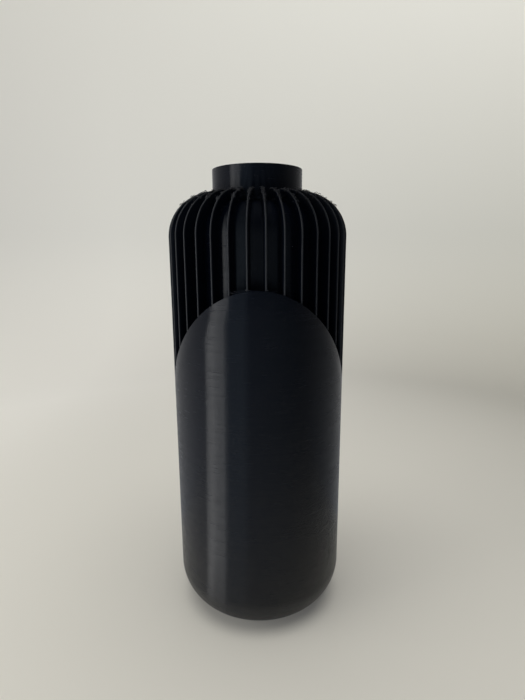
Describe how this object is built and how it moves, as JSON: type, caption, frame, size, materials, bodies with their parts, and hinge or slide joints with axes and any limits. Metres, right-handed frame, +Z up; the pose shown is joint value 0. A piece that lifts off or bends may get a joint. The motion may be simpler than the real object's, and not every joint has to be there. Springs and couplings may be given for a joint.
{
  "type": "ribbed bottle vase",
  "caption": "Tall bottle-shaped vase with a short round neck, thin upright ribs over the shoulder and a smooth outer sleeve cut off by one slanting plane.",
  "frame": {"origin": "middle of the flat foot, on the surface the vase stands on", "axes": "+Z up along the vase's axis, towards the mouth; -Y to the sleeve's high side; +Y to its low side; +X to the right seen from the high side"},
  "size_m": [0.1, 0.1, 0.26],
  "materials": {
    "foot": "black printed plastic, flat first layer",
    "sleeve": "satin black printed plastic with fine level layer lines",
    "vessel": "satin black printed plastic with fine level layer lines",
    "neck": "satin black printed plastic with fine level layer lines",
    "rib": "satin black printed plastic, two lines of plastic thick"
  },
  "bodies": {
    "root": {"foot_plate": "foot", "outer_sleeve": "sleeve", "inner_vessel": "vessel", "neck_collar": "neck", "rib_01": "rib", "rib_02": "rib", "rib_03": "rib", "rib_04": "rib", "rib_05": "rib", "rib_06": "rib", "rib_07": "rib", "rib_08": "rib", "rib_09": "rib", "rib_10": "rib", "rib_11": "rib", "rib_12": "rib", "rib_13": "rib", "rib_14": "rib", "rib_15": "rib", "rib_16": "rib", "rib_17": "rib", "rib_18": "rib", "rib_19": "rib", "rib_20": "rib", "rib_21": "rib", "rib_22": "rib", "rib_23": "rib", "rib_24": "rib", "rib_25": "rib", "rib_26": "rib", "rib_27": "rib", "rib_28": "rib", "rib_29": "rib", "rib_30": "rib", "rib_31": "rib", "rib_32": "rib", "rib_33": "rib", "rib_34": "rib"}
  },
  "joints": []
}
